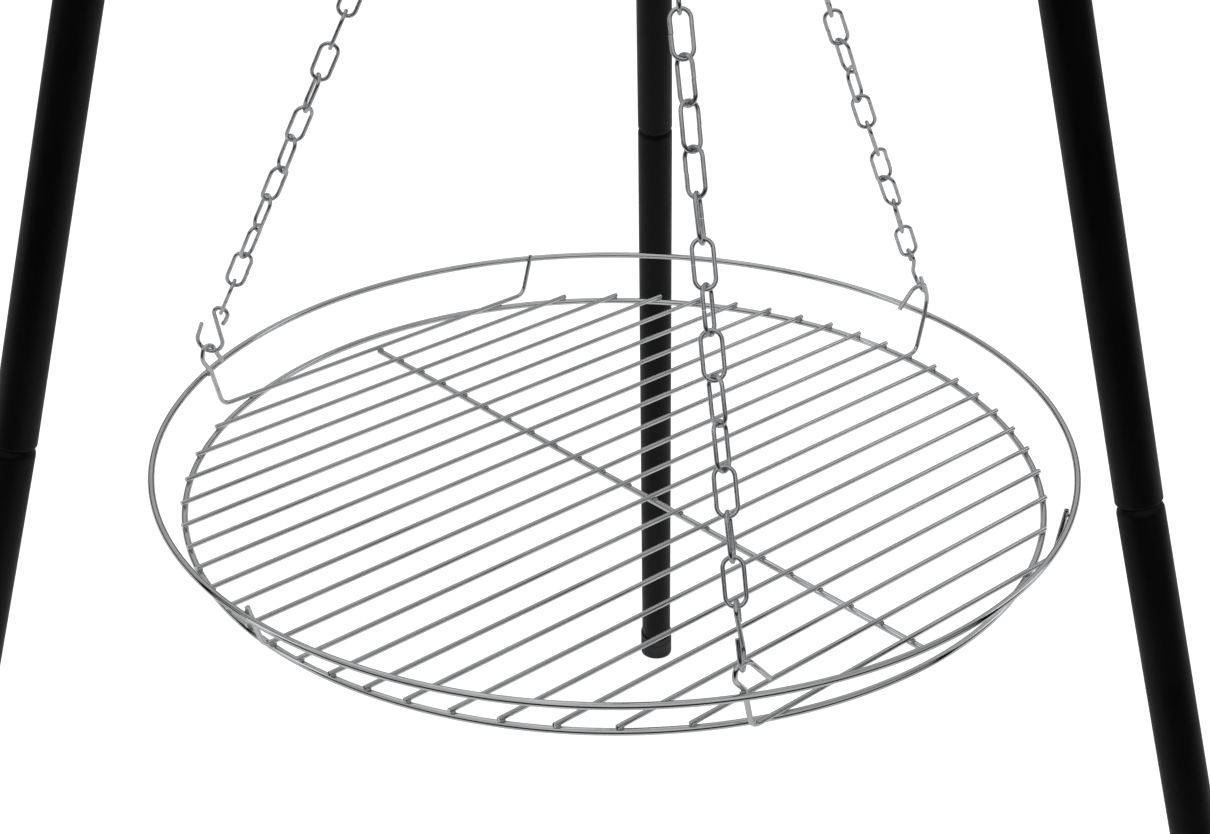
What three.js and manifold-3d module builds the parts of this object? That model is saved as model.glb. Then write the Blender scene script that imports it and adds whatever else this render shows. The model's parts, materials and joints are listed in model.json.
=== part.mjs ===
// Campfire tripod with a round wire grate that hangs on three chains.
// Units are millimetres, +Z is up, and the front of the object faces -Y.
import * as THREE from "three";
import { mergeVertices } from "three/addons/utils/BufferGeometryUtils.js";
import Module from "manifold-3d";

const wasm = await Module();
wasm.setup();

// ---------- driving dimensions ----------
const GAP = 0.3; // clearance between neighbouring solids

const HINGE_HEIGHT = 1184; // leg hinges above the upper grate ring
const HINGE_RADIUS = 42; // leg hinges from the tripod's axis
const FIRST_LEG_AZIMUTH = 84.1; // degrees; the legs are a third of a turn apart
const SECTION = 578; // length of each of a leg's three plug-together sections
const TUBE_R = 12.5;
const TUBE_WALL = 1.3;
const SPIGOT_R = 9.7; // loose in the bore, so the sections can kink a little
const SPIGOT_LENGTH = 32;
const NECK_R = 10.6;
const FOOT_SOLE = 9; // foot cap's thickness under the tube's end
const GROUND_TRIM = 2.6; // height of foot cap cut level where it stands on the ground

const RING_R = 275; // upper grate ring, wire centre line
const LOWER_RING_R = 258;
const RING_WIRE_R = 2;
const RING_DROP = 27.9; // lower ring below the upper one
const BAR_WIRE_R = 1.5;
const BAR_COUNT = 22;
const BAR_PITCH = 22.6;
const BAR_ROW_SHIFT = -1.1; // the row of bars sits slightly off the ring's centre
const BAR_AZIMUTH = 42; // degrees, the way the bars run
const BAR_OVERHANG = 2.2; // cut end past the lower ring's centre line
const BEND_LENGTH = 4; // straight length taken up by each side of a long bar's bend
const EYE_BEND_LENGTH = 2.2;
const CROSS_BAR_SPAN = [237.8, -247.5]; // along the row of bars
const CROSS_BAR_R = 1.9; // thicker wire than the bars

const APEX_HEIGHT = 590; // chains meet this far above the upper ring
const APEX_RING_R = 15;
const APEX_WIRE_R = 2;
const HANGER_RING_R = 17;
const HANGER_WIRE_R = 2.5;
const LINK_PITCH = 22.5;
const HANGER_LINKS = 22;
const CHAIN_ROD_R = 2.1; // a plain rod as heavy as the chain it stands for

const S_WIRE_R = 1.35;
const S_SMALL_R = 4.4; // upper loop, holds the last link
const S_LARGE_R = 8.2; // lower loop, goes through the grate's eye
const S_LOOP_DISTANCE = 21.5;

const HOOK_WIRE_R = 4;
const HOOK_BOWL_R = 11;
const PLATE_R = 60;
const PLATE_THICKNESS = 4;
const PLATE_ABOVE_HINGE = 20;
const EAR_THICKNESS = 3;
const EAR_R = 13;
const TONGUE_THICKNESS = 8;
const BOLT_R = 4;

// Lean of each leg section from upright: outwards, then sideways, in degrees.
const LEGS = [
  { name: "back", leans: [[15.6, 0.2], [15.3, 0.3], [14.7, 0.5]] },
  { name: "left", leans: [[16.3, -0.6], [14.4, -0.6], [15.1, -1.5]] },
  { name: "right", leans: [[13.5, 0.6], [15.0, 0.4], [16.6, -1.0]] },
];

// Long bars, whose ends turn up: which bar, which way its hooked end points, the corners
// of its hand-bent open eye (outwards from the ring's inner side, then height above the ring),
// the point of the eye that carries the S-hook, and the level direction the S-hook faces.
const HOOK_BARS = [
  {
    name: "left",
    index: 0,
    hookSide: -1,
    eye: [[5.5, 12], [3.5, 20.5], [-2.5, 20.5], [-9, 7]],
    carry: [0.5, 20.5],
    facing: -10,
  },
  {
    name: "right",
    index: 11,
    hookSide: 1,
    eye: [[1, 14], [-3, 25.5], [-14, 25.5], [-27, 14]],
    carry: [-7, 25.5],
    facing: 103,
  },
  {
    name: "front",
    index: 21,
    hookSide: -1,
    eye: [[7, 10.5], [6, 18], [-3, 18], [-19, 0]],
    carry: [1.5, 18],
    facing: 83,
  },
];

// ---------- materials ----------
const blackPaint = () =>
  new THREE.MeshStandardMaterial({ color: 0x17181a, roughness: 0.5, metalness: 0.2 });
const chrome = () =>
  new THREE.MeshStandardMaterial({ color: 0xd2d4d6, roughness: 0.12, metalness: 1 });
const zinc = () =>
  new THREE.MeshStandardMaterial({ color: 0xb9bcc0, roughness: 0.3, metalness: 1 });
const blackPlastic = () =>
  new THREE.MeshStandardMaterial({ color: 0x101011, roughness: 0.7, metalness: 0 });

// ---------- helpers ----------
const rad = THREE.MathUtils.degToRad;
const vec = (x, y, z) => new THREE.Vector3(x, y, z);

function solid(geometry) {
  const bare = geometry.index ? geometry.toNonIndexed() : geometry.clone();
  bare.deleteAttribute("normal");
  bare.deleteAttribute("uv");
  const merged = mergeVertices(bare, 1e-3);
  return new wasm.Manifold(
    new wasm.Mesh({
      numProp: 3,
      vertProperties: merged.attributes.position.array,
      triVerts: new Uint32Array(merged.index.array),
    }),
  );
}

function geometryOf(body) {
  const { vertProperties, triVerts } = body.getMesh();
  return new THREE.BufferGeometry()
    .setAttribute("position", new THREE.BufferAttribute(vertProperties, 3))
    .setIndex(new THREE.BufferAttribute(triVerts, 1));
}

function join(...geometries) {
  return geometryOf(geometries.map(solid).reduce((whole, piece) => whole.add(piece)));
}

function cut(geometry, ...tools) {
  return geometryOf(tools.map(solid).reduce((whole, tool) => whole.subtract(tool), solid(geometry)));
}

// Solid of revolution about Z; the profile's [radius, z] points run anticlockwise.
function turned(profile, segments) {
  const points = profile.map(([r, z]) => new THREE.Vector2(r, z));
  return new THREE.LatheGeometry(points, segments).rotateX(Math.PI / 2);
}

function ringGeometry(radius, wireRadius, segments, sides = 6) {
  const profile = [];
  for (let i = 0; i <= sides; i++) {
    const angle = (2 * Math.PI * (i % sides)) / sides;
    profile.push([radius + wireRadius * Math.cos(angle), wireRadius * Math.sin(angle)]);
  }
  return turned(profile, segments);
}

function cylinderZ(radius, bottom, top, segments) {
  return new THREE.CylinderGeometry(radius, radius, top - bottom, segments)
    .rotateX(Math.PI / 2)
    .translate(0, 0, (top + bottom) / 2);
}

function rodBetween(start, end, radius, sides = 8) {
  const along = end.clone().sub(start);
  const turn = new THREE.Quaternion().setFromUnitVectors(vec(0, 1, 0), along.clone().normalize());
  const middle = start.clone().add(end).multiplyScalar(0.5);
  return new THREE.CylinderGeometry(radius, radius, along.length(), sides)
    .applyQuaternion(turn)
    .translate(middle.x, middle.y, middle.z);
}

// A route through the given points, with one cross-section of the wire at each point.
class Route extends THREE.Curve {
  constructor(points) {
    super();
    this.points = points;
  }
  indexAt(u) {
    return Math.round(u * (this.points.length - 1));
  }
  getPointAt(u) {
    return this.points[this.indexAt(u)].clone();
  }
  getTangentAt(u) {
    const i = this.indexAt(u);
    const after = this.points[Math.min(i + 1, this.points.length - 1)];
    return after.clone().sub(this.points[Math.max(i - 1, 0)]).normalize();
  }
}

function wire(points, wireRadius, sides = 6) {
  const section = new THREE.Shape();
  for (let i = 0; i < sides; i++) {
    const angle = (2 * Math.PI * i) / sides;
    const [x, y] = [wireRadius * Math.cos(angle), wireRadius * Math.sin(angle)];
    if (i === 0) section.moveTo(x, y);
    else section.lineTo(x, y);
  }
  const extrudePath = new Route(points);
  const steps = points.length - 1;
  return new THREE.ExtrudeGeometry(section, { steps, extrudePath, bevelEnabled: false });
}

// The points of a polyline whose corners are rounded.
function rounded(corners, cornerLength, divisions = 5) {
  const points = [corners[0]];
  for (let i = 1; i < corners.length - 1; i++) {
    const corner = corners[i];
    const before = corner.clone().sub(corners[i - 1]).normalize();
    const after = corners[i + 1].clone().sub(corner).normalize();
    const enter = corner.clone().addScaledVector(before, -cornerLength);
    const leave = corner.clone().addScaledVector(after, cornerLength);
    points.push(...new THREE.QuadraticBezierCurve3(enter, corner, leave).getPoints(divisions));
  }
  points.push(corners[corners.length - 1]);
  return points;
}

// Points of an arc in the XZ plane.
function arc(centre, radius, from, to, divisions) {
  return Array.from({ length: divisions + 1 }, (_, i) => {
    const angle = from + ((to - from) * i) / divisions;
    return centre.clone().add(vec(radius * Math.cos(angle), 0, radius * Math.sin(angle)));
  });
}

function part(group, name, geometry, material) {
  const mesh = new THREE.Mesh(geometry, material);
  mesh.name = name;
  group.add(mesh);
  return mesh;
}

// ---------- derived places ----------
const hingeZ = HINGE_HEIGHT;
const boreR = TUBE_R - TUBE_WALL;
const barZ = -RING_DROP + RING_WIRE_R + BAR_WIRE_R + GAP;
const barDirection = vec(Math.cos(rad(BAR_AZIMUTH)), Math.sin(rad(BAR_AZIMUTH)), 0);
const rowDirection = vec(-Math.sin(rad(BAR_AZIMUTH)), Math.cos(rad(BAR_AZIMUTH)), 0);
const barOffset = (index) => BAR_ROW_SHIFT + ((BAR_COUNT - 1) / 2 - index) * BAR_PITCH;
const apex = vec(0, 0, APEX_HEIGHT);
const apexRingZ = APEX_HEIGHT + APEX_RING_R;
const hangerTop = apexRingZ + APEX_RING_R - APEX_WIRE_R + HANGER_LINKS * LINK_PITCH;
const hangerRingZ = hangerTop - HANGER_WIRE_R + HANGER_RING_R;
const hookBottomZ = hangerRingZ + HANGER_RING_R - HANGER_WIRE_R - HOOK_WIRE_R - GAP;

// Point above the grate's plane on a bar: distance along it, then height.
function onBar(index, along, height) {
  return rowDirection
    .clone()
    .multiplyScalar(barOffset(index))
    .addScaledVector(barDirection, along)
    .add(vec(0, 0, height));
}

// ---------- head ----------
function headPlate() {
  const [low, high] = [hingeZ + PLATE_ABOVE_HINGE, hingeZ + PLATE_ABOVE_HINGE + PLATE_THICKNESS];
  const hole = HOOK_WIRE_R + GAP;
  const profile = [[hole, low], [PLATE_R - 1, low], [PLATE_R, low + 1], [PLATE_R, high - 1]];
  profile.push([PLATE_R - 1, high], [hole, high], [hole, low]);
  return turned(profile, 36);
}

// U-shaped bracket under the plate, with the leg's tongue between its ears.
function bracket() {
  const innerHalf = TONGUE_THICKNESS / 2 + GAP;
  const top = PLATE_ABOVE_HINGE - GAP;
  const bridgeBottom = top - EAR_THICKNESS;
  const outline = new THREE.Shape();
  outline.moveTo(-EAR_R, bridgeBottom + 1);
  outline.lineTo(-EAR_R, 0);
  outline.absarc(0, 0, EAR_R, Math.PI, 2 * Math.PI, false);
  outline.lineTo(EAR_R, bridgeBottom + 1);
  const hole = new THREE.Path().absarc(0, 0, BOLT_R + GAP, 0, 2 * Math.PI, true);
  outline.holes.push(hole);
  const ear = (nearFace) =>
    new THREE.ExtrudeGeometry(outline, { depth: EAR_THICKNESS, bevelEnabled: false, curveSegments: 8 })
      .rotateX(Math.PI / 2)
      .translate(0, nearFace, 0);
  const width = 2 * (innerHalf + EAR_THICKNESS);
  const bridge = new THREE.BoxGeometry(2 * EAR_R, width, EAR_THICKNESS);
  bridge.translate(0, 0, bridgeBottom + EAR_THICKNESS / 2);
  return join(ear(-innerHalf), ear(innerHalf + EAR_THICKNESS), bridge);
}

// Hexagon bolt with its nut, along Y through the hinge.
function hingeBolt() {
  const face = TONGUE_THICKNESS / 2 + GAP + EAR_THICKNESS + GAP;
  const headHeight = 5.3;
  const nutHeight = 6.5;
  const hexagon = (bottom, top) => cylinderZ(6.8, bottom, top, 6);
  const shank = cylinderZ(BOLT_R, -face - 1, face + nutHeight + 3, 12);
  return join(hexagon(-face - headHeight, -face), shank, hexagon(face, face + nutHeight)).rotateX(
    Math.PI / 2,
  );
}

function headHook() {
  const bowlZ = hookBottomZ + HOOK_BOWL_R;
  const shankTop = hingeZ + PLATE_ABOVE_HINGE + PLATE_THICKNESS + 12;
  const corners = [vec(0, 0, shankTop), vec(0, 0, bowlZ + 20), vec(-HOOK_BOWL_R, 0, bowlZ + 9)];
  const neck = rounded([...corners, vec(-HOOK_BOWL_R, 0, bowlZ + 1)], 5, 4);
  const bowl = arc(vec(0, 0, bowlZ), HOOK_BOWL_R, -Math.PI, 0, 10);
  return wire([...neck, ...bowl, vec(HOOK_BOWL_R + 1.5, 0, bowlZ + 10)], HOOK_WIRE_R, 8);
}

function headHookNut() {
  const bottom = hingeZ + PLATE_ABOVE_HINGE + PLATE_THICKNESS + GAP;
  return cut(cylinderZ(7.4, bottom, bottom + 7, 6), cylinderZ(HOOK_WIRE_R + GAP, bottom - 1, bottom + 8, 16));
}

// ---------- legs; each piece's own frame has the section's axis on -Z ----------
function tongue() {
  const outline = new THREE.Shape();
  outline.moveTo(-10.5, -27);
  outline.lineTo(10.5, -27);
  outline.lineTo(12, -4);
  outline.absarc(0, 0, 12, 0, Math.PI, false);
  outline.lineTo(-12, -4);
  const hole = new THREE.Path().absarc(0, 0, BOLT_R + GAP, 0, 2 * Math.PI, true);
  outline.holes.push(hole);
  const blade = new THREE.ExtrudeGeometry(outline, {
    depth: TONGUE_THICKNESS,
    bevelEnabled: false,
    curveSegments: 8,
  })
    .rotateX(Math.PI / 2)
    .translate(0, TONGUE_THICKNESS / 2, 0);
  const collar = cylinderZ(TUBE_R, -30, -26, 20);
  const plug = cylinderZ(boreR - GAP, -62, -29, 20);
  return join(blade, collar, plug);
}

function upperTube() {
  const [top, bottom] = [-30 - GAP, -SECTION];
  const profile = [[boreR, bottom], [TUBE_R - 0.8, bottom], [TUBE_R, bottom + 0.8]];
  profile.push([TUBE_R, top], [boreR, top], [boreR, bottom]);
  return turned(profile, 20);
}

// Tube whose narrowed top end plugs into the tube above it.
function neckedTube(bottom, hasRim) {
  const spigotBore = SPIGOT_R - TUBE_WALL;
  const shoulder = -GAP - 0.4;
  const profile = [[boreR, bottom]];
  if (hasRim) profile.push([TUBE_R - 0.8, bottom], [TUBE_R, bottom + 0.8]);
  else profile.push([TUBE_R, bottom]);
  profile.push([TUBE_R, shoulder - 2.6], [TUBE_R - 0.8, shoulder - 0.8], [NECK_R, shoulder]);
  profile.push([SPIGOT_R, shoulder], [SPIGOT_R, SPIGOT_LENGTH - 1.5], [SPIGOT_R - 1, SPIGOT_LENGTH]);
  profile.push([spigotBore, SPIGOT_LENGTH], [spigotBore, shoulder - 8], [boreR, shoulder - 14]);
  profile.push([boreR, bottom]);
  return turned(profile, 20);
}

// Cup-shaped cap over the tube's end.
function footCap() {
  const outer = TUBE_R + 1.1;
  const inner = TUBE_R + GAP;
  const [lip, floor, bottom] = [-SECTION + 29, -SECTION + FOOT_SOLE, -SECTION];
  const profile = [[0, bottom], [8.5, bottom], [11.6, bottom + 1.2], [13.1, bottom + 3.6]];
  profile.push([outer, bottom + 6.5], [outer, lip - 1], [outer - 0.4, lip], [inner, lip]);
  profile.push([inner, floor], [0, floor]);
  return turned(profile, 20);
}

function addLeg(assembly, index) {
  const { name, leans } = LEGS[index];
  const azimuth = rad(FIRST_LEG_AZIMUTH + index * 120);
  const start = vec(HINGE_RADIUS * Math.cos(azimuth), HINGE_RADIUS * Math.sin(azimuth), hingeZ);
  const sections = leans.map(([outwards, sideways]) => {
    const section = new THREE.Group();
    section.rotation.set(rad(sideways), rad(-outwards), azimuth, "ZYX");
    section.position.copy(start);
    start.add(vec(0, 0, -SECTION).applyEuler(section.rotation));
    assembly.add(section);
    return section;
  });
  const [upper, middle, lower] = sections;
  part(upper, `leg_${name}_tongue`, tongue(), zinc());
  part(upper, `leg_${name}_upper_tube`, upperTube(), blackPaint());
  part(middle, `leg_${name}_middle_tube`, neckedTube(-SECTION, true), blackPaint());
  part(lower, `leg_${name}_lower_tube`, neckedTube(-SECTION + FOOT_SOLE + GAP, false), blackPaint());
  const cap = part(lower, `leg_${name}_foot_cap`, footCap(), blackPlastic());
  return { cap, lower, footZ: start.z };
}

// Cuts a foot cap level, so that it stands flat on the ground.
function trimFoot({ cap, lower }, groundZ) {
  lower.updateMatrixWorld(true);
  const earth = new THREE.BoxGeometry(400, 400, 100).translate(0, 0, groundZ - 50);
  const reach = vec(0, 0, -SECTION).applyMatrix4(lower.matrix);
  earth.translate(reach.x, reach.y, 0).applyMatrix4(lower.matrix.clone().invert());
  cap.geometry = cut(cap.geometry, earth);
}

function addHeadBracket(assembly, index) {
  const azimuth = FIRST_LEG_AZIMUTH + index * 120;
  const seat = new THREE.Group();
  seat.position.set(HINGE_RADIUS * Math.cos(rad(azimuth)), HINGE_RADIUS * Math.sin(rad(azimuth)), hingeZ);
  seat.rotation.z = rad(azimuth);
  part(seat, `head_bracket_${LEGS[index].name}`, bracket(), blackPaint());
  part(seat, `hinge_bolt_${LEGS[index].name}`, hingeBolt(), zinc());
  assembly.add(seat);
}

// ---------- grate ----------
function straightBar(index) {
  const half = Math.sqrt(LOWER_RING_R ** 2 - barOffset(index) ** 2) + BAR_OVERHANG;
  return rodBetween(onBar(index, -half, barZ), onBar(index, half, barZ), BAR_WIRE_R);
}

// How far along a long bar its upright arms touch the inside of the upper ring.
function armReach(index) {
  const contactR = RING_R - RING_WIRE_R - BAR_WIRE_R - GAP;
  return Math.sqrt(contactR ** 2 - barOffset(index) ** 2);
}

// Long bar: one end rises to the upper ring, the other end rises past it into an open eye.
function hookBar({ index, hookSide, eye }) {
  const reach = armReach(index);
  const at = (side, outwards, height) => onBar(index, side * (reach + outwards), height);
  const riser = [at(-hookSide, 1, 4), at(-hookSide, -7, barZ), at(hookSide, -7, barZ)];
  const arm = [at(hookSide, -0.5, 2), ...eye.map((corner) => at(hookSide, ...corner))];
  const feet = rounded([...riser, arm[0]], BEND_LENGTH);
  const loop = rounded(arm, EYE_BEND_LENGTH);
  return wire([...feet, ...loop.slice(1)], BAR_WIRE_R);
}

function crossBar() {
  const z = barZ - BAR_WIRE_R - CROSS_BAR_R - GAP;
  const end = (along) => rowDirection.clone().multiplyScalar(along).add(vec(0, 0, z));
  return rodBetween(end(CROSS_BAR_SPAN[0]), end(CROSS_BAR_SPAN[1]), CROSS_BAR_R);
}

// S-hook in its own frame: X across the loops, Z along the chain, origin under the eye's wire.
function sHook() {
  const largeCentre = vec(0, 0, S_LARGE_R);
  const smallCentre = vec(0, 0, S_LARGE_R + S_LOOP_DISTANCE);
  const points = [
    smallCentre.clone().add(vec(S_SMALL_R - 0.8, 0, -6.5)),
    ...arc(smallCentre, S_SMALL_R, 0, Math.PI, 8),
    ...arc(largeCentre, S_LARGE_R, 0, -Math.PI, 10),
    largeCentre.clone().add(vec(-S_LARGE_R - 0.6, 0, 9)),
  ];
  return wire(points, S_WIRE_R);
}

function addSuspension(assembly, bar) {
  const [outwards, height] = bar.carry;
  const eye = onBar(bar.index, bar.hookSide * (armReach(bar.index) + outwards), height);
  const up = apex.clone().sub(eye).normalize();
  const facing = vec(Math.cos(rad(bar.facing)), Math.sin(rad(bar.facing)), 0);
  const across = facing.addScaledVector(up, -facing.dot(up)).normalize();
  const normal = up.clone().cross(across);
  const seat = eye.clone().addScaledVector(up, -BAR_WIRE_R - S_WIRE_R - GAP);
  const frame = new THREE.Matrix4().makeBasis(across, normal, up).setPosition(seat);
  const hook = part(assembly, `s_hook_${bar.name}`, sHook(), zinc());
  hook.applyMatrix4(frame);
  const hookHeight = S_LARGE_R + S_LOOP_DISTANCE + S_SMALL_R;
  const low = seat.clone().addScaledVector(up, hookHeight + S_WIRE_R + GAP);
  const high = apex.clone().addScaledVector(up, -11);
  part(assembly, `chain_${bar.name}`, rodBetween(low, high, CHAIN_ROD_R), zinc());
}

function addGrate(assembly) {
  part(assembly, "upper_ring", ringGeometry(RING_R, RING_WIRE_R, 96), chrome());
  const lower = part(assembly, "lower_ring", ringGeometry(LOWER_RING_R, RING_WIRE_R, 96), chrome());
  lower.position.z = -RING_DROP;
  part(assembly, "cross_bar", crossBar(), chrome());
  for (let index = 0; index < BAR_COUNT; index++) {
    const hook = HOOK_BARS.find((bar) => bar.index === index);
    const number = String(index + 1).padStart(2, "0");
    if (hook) part(assembly, `hook_bar_${hook.name}`, hookBar(hook), chrome());
    else part(assembly, `bar_${number}`, straightBar(index), chrome());
  }
  HOOK_BARS.forEach((bar) => addSuspension(assembly, bar));
}

function addHanger(assembly) {
  const apexRing = part(assembly, "apex_ring", ringGeometry(APEX_RING_R, APEX_WIRE_R, 20), zinc());
  apexRing.rotation.x = Math.PI / 2;
  apexRing.position.z = apexRingZ;
  const low = vec(0, 0, apexRingZ + APEX_RING_R + APEX_WIRE_R + GAP);
  const high = vec(0, 0, hangerRingZ - HANGER_RING_R - HANGER_WIRE_R - GAP);
  part(assembly, "hanger_chain", rodBetween(low, high, CHAIN_ROD_R), zinc());
  const ring = part(assembly, "hanger_ring", ringGeometry(HANGER_RING_R, HANGER_WIRE_R, 20), zinc());
  ring.rotation.y = Math.PI / 2;
  ring.position.z = hangerRingZ;
}

// ---------- assembly, built about the middle of the upper ring ----------
const assembly = new THREE.Group();
part(assembly, "head_plate", headPlate(), blackPaint());
part(assembly, "head_hook", headHook(), zinc());
part(assembly, "head_hook_nut", headHookNut(), zinc());
LEGS.forEach((_, index) => addHeadBracket(assembly, index));
const feet = LEGS.map((_, index) => addLeg(assembly, index));
const groundZ = feet.reduce((sum, foot) => sum + foot.footZ, 0) / feet.length + GROUND_TRIM;
feet.forEach((foot) => trimFoot(foot, groundZ));
addHanger(assembly);
addGrate(assembly);

// The part's origin is the middle of its footprint, on the ground.
const bounds = new THREE.Box3().setFromObject(assembly, true);
const middle = bounds.getCenter(vec(0, 0, 0));
assembly.position.set(-middle.x, -middle.y, -bounds.min.z);

const tripodGrate = new THREE.Group();
tripodGrate.add(assembly);

export default tripodGrate;
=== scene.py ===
"""Campfire tripod with a round chromed grate on chains: the looks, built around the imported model.

Pieces are drawn in millimetres about the middle of the upper grate ring, and stored in metres.
"""

import json
import math
import random

import bmesh
import bpy
import numpy as np
from mathutils import Matrix, Quaternion, Vector


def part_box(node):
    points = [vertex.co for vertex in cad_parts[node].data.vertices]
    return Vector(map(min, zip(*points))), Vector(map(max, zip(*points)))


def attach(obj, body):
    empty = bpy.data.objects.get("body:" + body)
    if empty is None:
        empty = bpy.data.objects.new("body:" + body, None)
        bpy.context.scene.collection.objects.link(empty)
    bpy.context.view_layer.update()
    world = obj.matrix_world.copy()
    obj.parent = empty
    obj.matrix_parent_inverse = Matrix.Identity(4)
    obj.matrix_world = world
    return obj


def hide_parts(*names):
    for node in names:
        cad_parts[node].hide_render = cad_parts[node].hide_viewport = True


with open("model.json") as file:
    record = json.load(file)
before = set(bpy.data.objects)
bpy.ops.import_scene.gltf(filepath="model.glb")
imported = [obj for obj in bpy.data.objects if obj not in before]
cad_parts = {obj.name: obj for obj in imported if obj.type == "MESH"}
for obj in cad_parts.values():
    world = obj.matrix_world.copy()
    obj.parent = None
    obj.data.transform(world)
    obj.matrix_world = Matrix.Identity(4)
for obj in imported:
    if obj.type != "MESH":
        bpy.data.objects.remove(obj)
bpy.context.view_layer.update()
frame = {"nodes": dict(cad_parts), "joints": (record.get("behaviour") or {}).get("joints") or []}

random.seed(11)

# ---------- sizes in millimetres ----------
MM = 0.001

TUBE_R = 12.5
TUBE_WALL = 1.3
BORE_R = TUBE_R - TUBE_WALL
SPIGOT_R = 9.7
SPIGOT_LENGTH = 32
NECK_R = 10.6
SECTION = 578
COLLAR_BOTTOM = -30.3  # top of the upper tube, below the hinge
CAP_LENGTH = 29
FOOT_SOLE = 9  # thickness of a foot cap under the tube

RING_WIRE_R = 2
BAR_WIRE_R = 1.5
CROSS_BAR_R = 1.9
BAR_COUNT = 22
BAR_PITCH = 22.6
BAR_ROW_SHIFT = -1.1
BAR_AZIMUTH = math.radians(42)
BAR_RISE = 3.8  # middle of a bar above the middle of the lower ring's wire
BAR_BEND = 6
EYE_BEND = 3.4

LINK_WIRE_R = 1.2
LINK_PITCH = 22.5
LINK_HALF_WIDTH = 5.25  # to the wire's centre line
APEX_WIRE_R = 2
HANGER_WIRE_R = 2.5
S_WIRE_R = 1.35
S_SMALL_R = 4.4
S_LARGE_R = 8.2
S_LOOP_DISTANCE = 21.5
APEX_HEIGHT = 590

HOOK_WIRE_R = 4
HOOK_BOWL_R = 11
PLATE_R = 60
EAR_THICKNESS = 3
EAR_R = 13
TONGUE_THICKNESS = 8
BOLT_R = 4
BOLT_FLATS = 11.6  # across the hexagon of a hinge bolt's head and nut
HOOK_NUT_FLATS = 12.8
WASHER_THICKNESS = 1
PLATE_ABOVE_HINGE = 20
GAP = 0.3
LEG_NAMES = ("back", "left", "right")

WORLD_STRENGTH = 1.5
CAMERA_PLACE = (-0.0055, -1.166, 0.6358)  # metres from the middle of the upper ring
CAMERA_TILT = math.radians(28.02)  # down from level
CAMERA_LENS = 65.45
FLOOR_HALF_WIDTH = 9  # metres

# Long bars: index in the row, end that carries the hook, corners of the open eye (outwards from
# the ring's inner side, height above the ring), where the S-hook sits, and the way it faces.
HOOK_BARS = {
    "left": dict(
        index=0, side=-1, carry=(0.5, 20.5), facing=-10,
        eye=[(5.5, 12), (3.5, 20.5), (-2.5, 20.5), (-9, 7)],
    ),
    "right": dict(
        index=11, side=1, carry=(-7, 25.5), facing=103,
        eye=[(1, 14), (-3, 25.5), (-14, 25.5), (-27, 14)],
    ),
    "front": dict(
        index=21, side=-1, carry=(1.5, 18), facing=83,
        eye=[(7, 10.5), (6, 18), (-3, 18), (-19, 0)],
    ),
}

# How far each link has turned about its chain, in degrees, from the S-hook up. The links above
# these alternate by a right angle.
CHAIN_TURNS = {
    "left": [85, 180, 235, 294, 391, 480, 565, 640, 720, 805, 900],
    "right": [15, 90, 150, 210, 279, 365, 423, 492, 550, 630],
    "front": [0, 78, 180, 232, 305, 360, 423, 540, 615, 683, 754, 853, 900],
}


# ---------- places, from the frame ----------
def middle_of(node):
    low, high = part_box(node)
    return (low + high) / 2


ORIGIN = middle_of("upper_ring")
RING_R = (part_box("upper_ring")[1].x - ORIGIN.x) / MM - RING_WIRE_R
LOWER_RING_R = (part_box("lower_ring")[1].x - ORIGIN.x) / MM - RING_WIRE_R
RING_DROP = (ORIGIN.z - middle_of("lower_ring").z) / MM
BAR_Z = -RING_DROP + BAR_RISE


def local(point):
    """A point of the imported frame, in metres, as millimetres about the upper ring's middle."""
    return (point - ORIGIN) / MM


def ends_of(node):
    """The middles of a long straight CAD node's lower and upper ends, in local millimetres."""
    corners = np.array([v.co for v in frame["nodes"][node].data.vertices])
    corners = np.unique(np.round(corners, 6), axis=0)
    centre = corners.mean(axis=0)
    along = np.linalg.svd(corners - centre, full_matrices=False)[2][0]
    if along[np.argmax(np.abs(along))] < 0:
        along = -along
    reach = (corners - centre) @ along
    axis = Vector(along)
    low, high = (Vector(centre) + axis * float(r) for r in (reach.min(), reach.max()))
    if abs(axis.z) > 0.5 and low.z > high.z:
        low, high = high, low
    return local(low), local(high)


# ---------- mesh helpers ----------
class Build:
    """Vertices and faces in local millimetres, gathered into one object."""

    def __init__(self):
        self.vertices = []
        self.faces = []

    def add(self, vertices, faces, matrix=None):
        base = len(self.vertices)
        moved = [matrix @ v for v in vertices] if matrix else vertices
        self.vertices += moved
        self.faces += [tuple(base + i for i in face) for face in faces]
        return self

    def grid(self, rings, closed, matrix=None):
        """Joins equal rings of points into a skin: closed joins the last to the first."""
        sides = len(rings[0])
        vertices = [v for ring in rings for v in ring]
        faces = []
        spans = len(rings) if closed else len(rings) - 1
        for i in range(spans):
            a, b = i * sides, ((i + 1) % len(rings)) * sides
            for j in range(sides):
                k = (j + 1) % sides
                faces.append((a + j, a + k, b + k, b + j))
        if not closed:
            last = (len(rings) - 1) * sides
            faces.append(tuple(range(sides - 1, -1, -1)))
            faces.append(tuple(last + j for j in range(sides)))
        return self.add(vertices, faces, matrix)


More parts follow.
